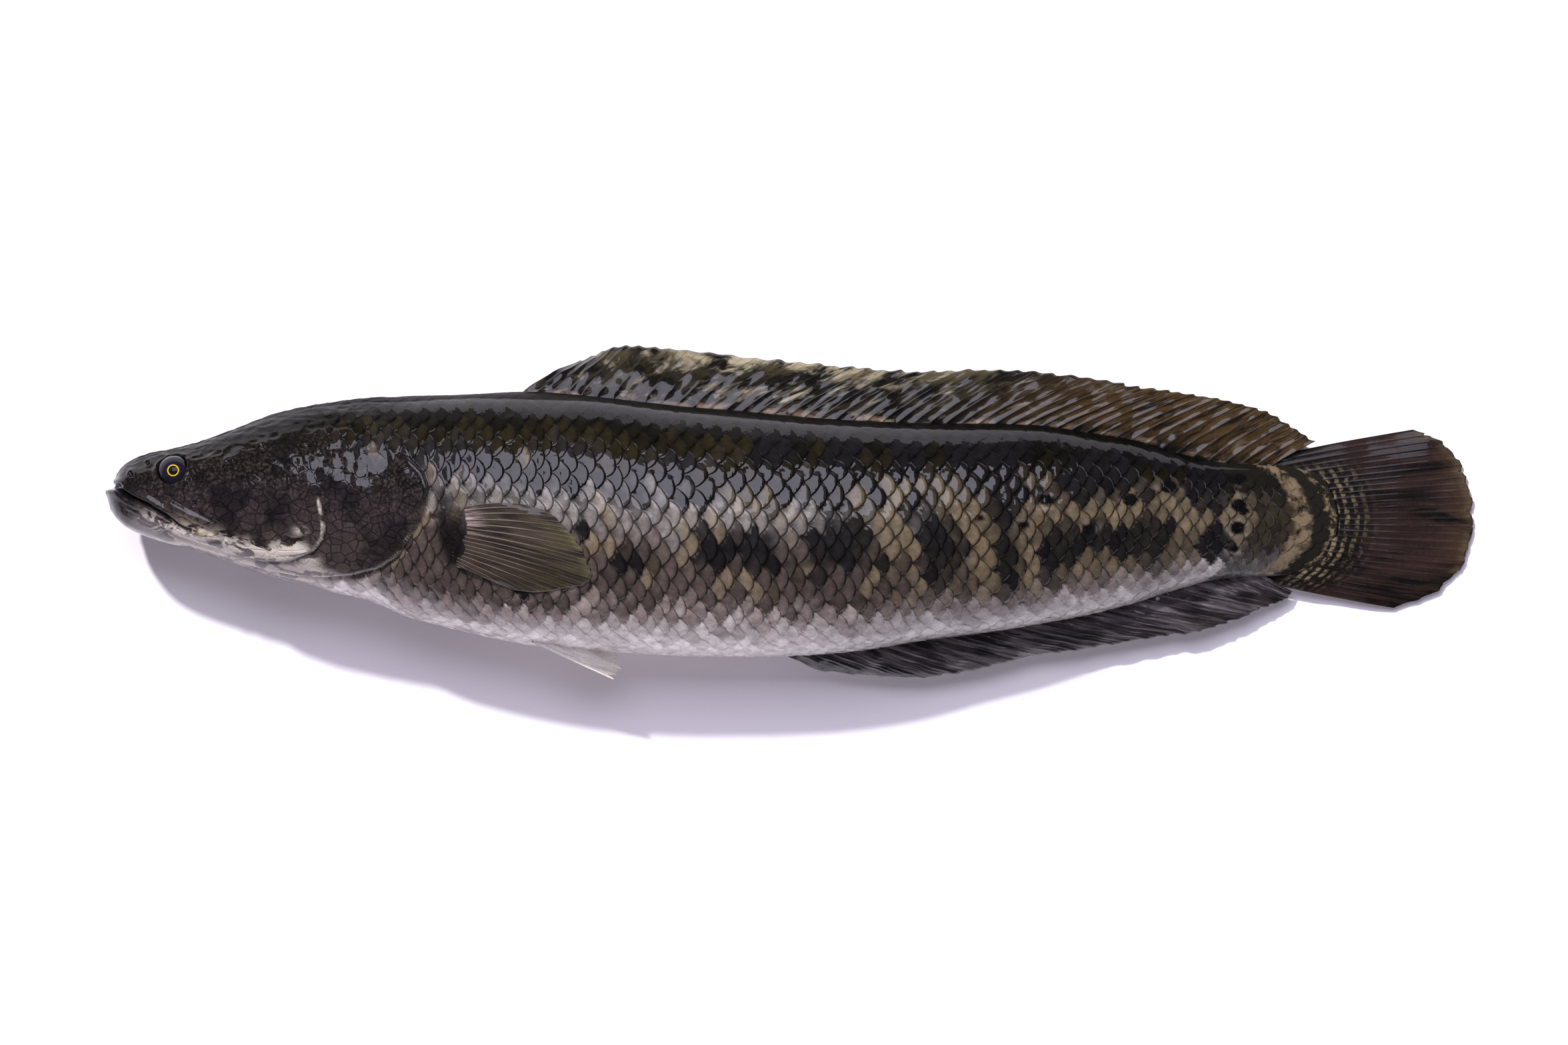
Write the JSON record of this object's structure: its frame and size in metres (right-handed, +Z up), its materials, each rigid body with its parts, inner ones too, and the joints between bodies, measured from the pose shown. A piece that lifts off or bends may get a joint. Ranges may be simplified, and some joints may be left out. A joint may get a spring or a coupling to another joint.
{
  "type": "whole raw fish",
  "caption": "Whole raw snakehead fish with head, scales and all its fins, lying on its right side with the left flank up.",
  "frame": {"origin": "middle of the bounding box's underside, on the surface that the fish lies on", "axes": "+X along the fish from jaw to tail, +Y from belly to back, +Z up, out of the left flank"},
  "size_m": [0.5, 0.1204, 0.0723],
  "materials": {
    "wetSkin": "gloss",
    "darkFin": "gloss",
    "oliveFin": "gloss",
    "paleFin": "satin",
    "eyeGloss": "gloss"
  },
  "bodies": {
    "root": {"body": "wetSkin", "left_eye": "eyeGloss", "right_eye": "eyeGloss", "dorsal_fin": "darkFin", "anal_fin": "darkFin", "caudal_fin": "darkFin", "left_pectoral_fin": "oliveFin", "right_pectoral_fin": "oliveFin", "left_pelvic_fin": "paleFin", "right_pelvic_fin": "paleFin"}
  },
  "joints": []
}
